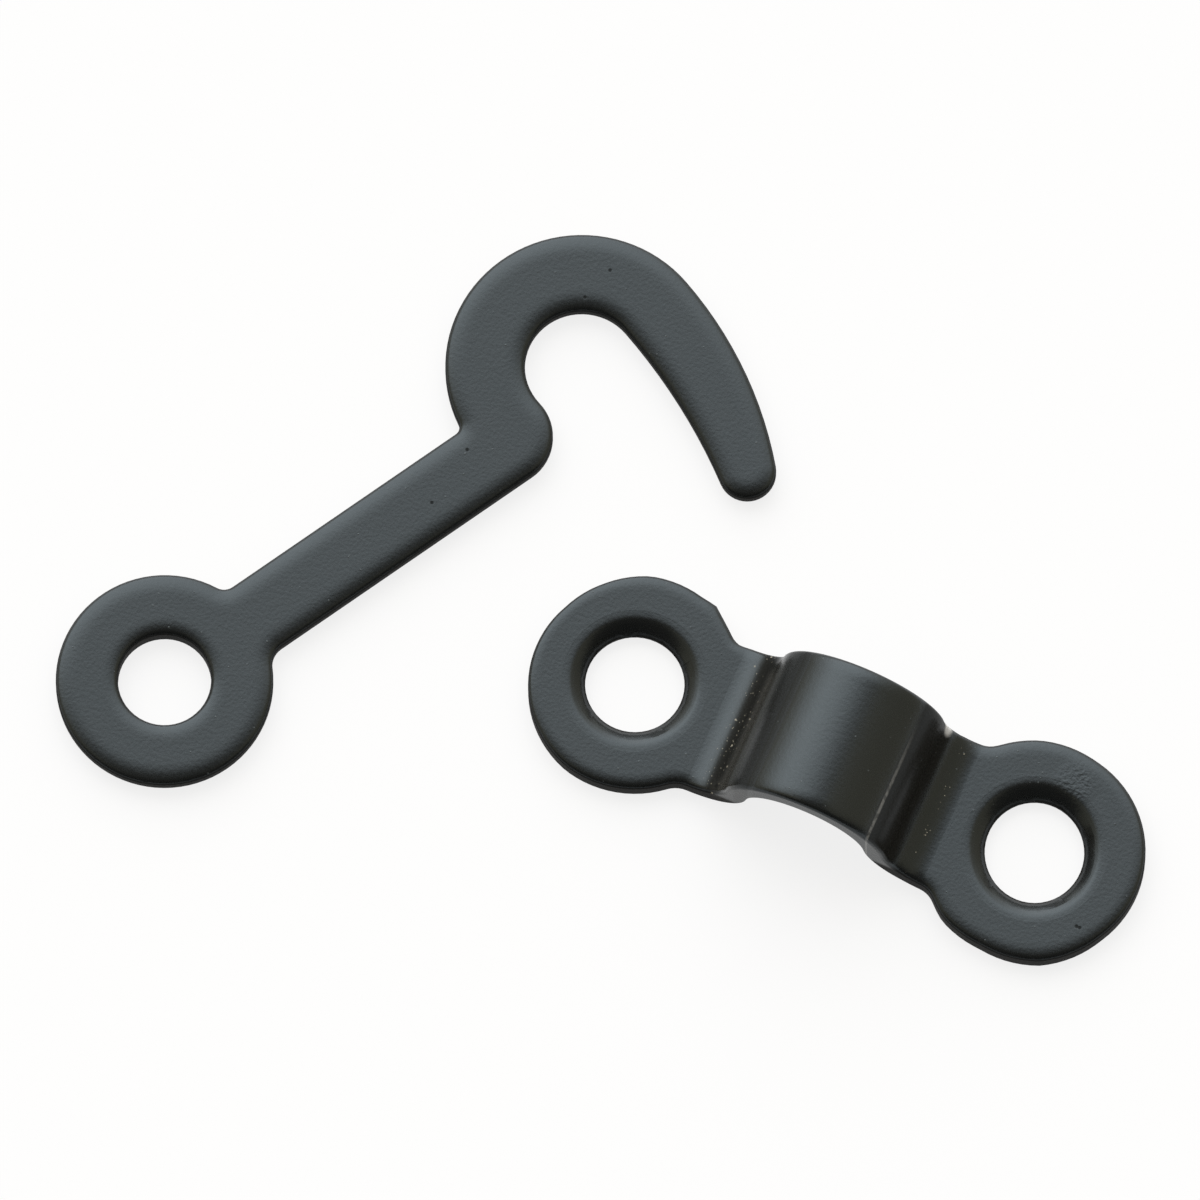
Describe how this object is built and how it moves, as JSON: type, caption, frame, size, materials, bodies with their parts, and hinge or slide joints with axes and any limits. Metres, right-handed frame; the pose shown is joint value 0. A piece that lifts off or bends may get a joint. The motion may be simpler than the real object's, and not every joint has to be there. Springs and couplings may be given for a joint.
{
  "type": "hook and staple latch",
  "caption": "Flat steel hook with a round pivot eye and a curved finger, beside a bridge-shaped staple with countersunk feet that the finger passes under to hold a door or lid shut.",
  "frame": {"origin": "midway between the staple's two screw holes, on its mounting face", "axes": "+X along the staple from foot to foot, +Y across it, +Z away from the mounting face towards the arch's top"},
  "size_m": [0.0524, 0.0343, 0.0066],
  "materials": {
    "black_paint": "matte black paint"
  },
  "bodies": {
    "staple": {"staple": "black_paint"},
    "hook": {"hook": "black_paint"}
  },
  "joints": [
    {"name": "hook_swing", "type": "hinge", "parent": "staple", "child": "hook", "pos_m": [-0.03135, -0.00895, 0], "axis": [0, 0, 1], "range_deg": [-12, 285]}
  ]
}
